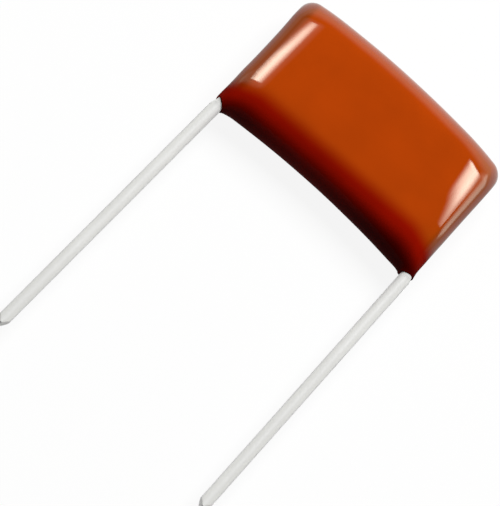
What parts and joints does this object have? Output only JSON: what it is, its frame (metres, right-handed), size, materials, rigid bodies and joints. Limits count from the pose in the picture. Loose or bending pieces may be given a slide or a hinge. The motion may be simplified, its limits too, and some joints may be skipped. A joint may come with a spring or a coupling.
{
  "type": "non-polar film capacitor",
  "caption": "Dipped film capacitor with a flat rounded epoxy body and long straight radial wire leads for through-hole boards.",
  "frame": {"origin": "on the flat back face, straight below the middle of the winding", "axes": "+X across the body towards the right lead, +Y along the leads from tip to body, +Z from the back face to the front face"},
  "size_m": [0.0165, 0.0296, 0.004],
  "materials": {
    "dipped_epoxy": "gloss",
    "metallised_film": "satin",
    "sprayed_metal": "matte",
    "tinned_wire": "satin"
  },
  "bodies": {
    "root": {"epoxy_coating": "dipped_epoxy", "film_winding": "metallised_film", "end_spray_left": "sprayed_metal", "end_spray_right": "sprayed_metal", "lead_left": "tinned_wire", "lead_right": "tinned_wire"}
  },
  "joints": []
}
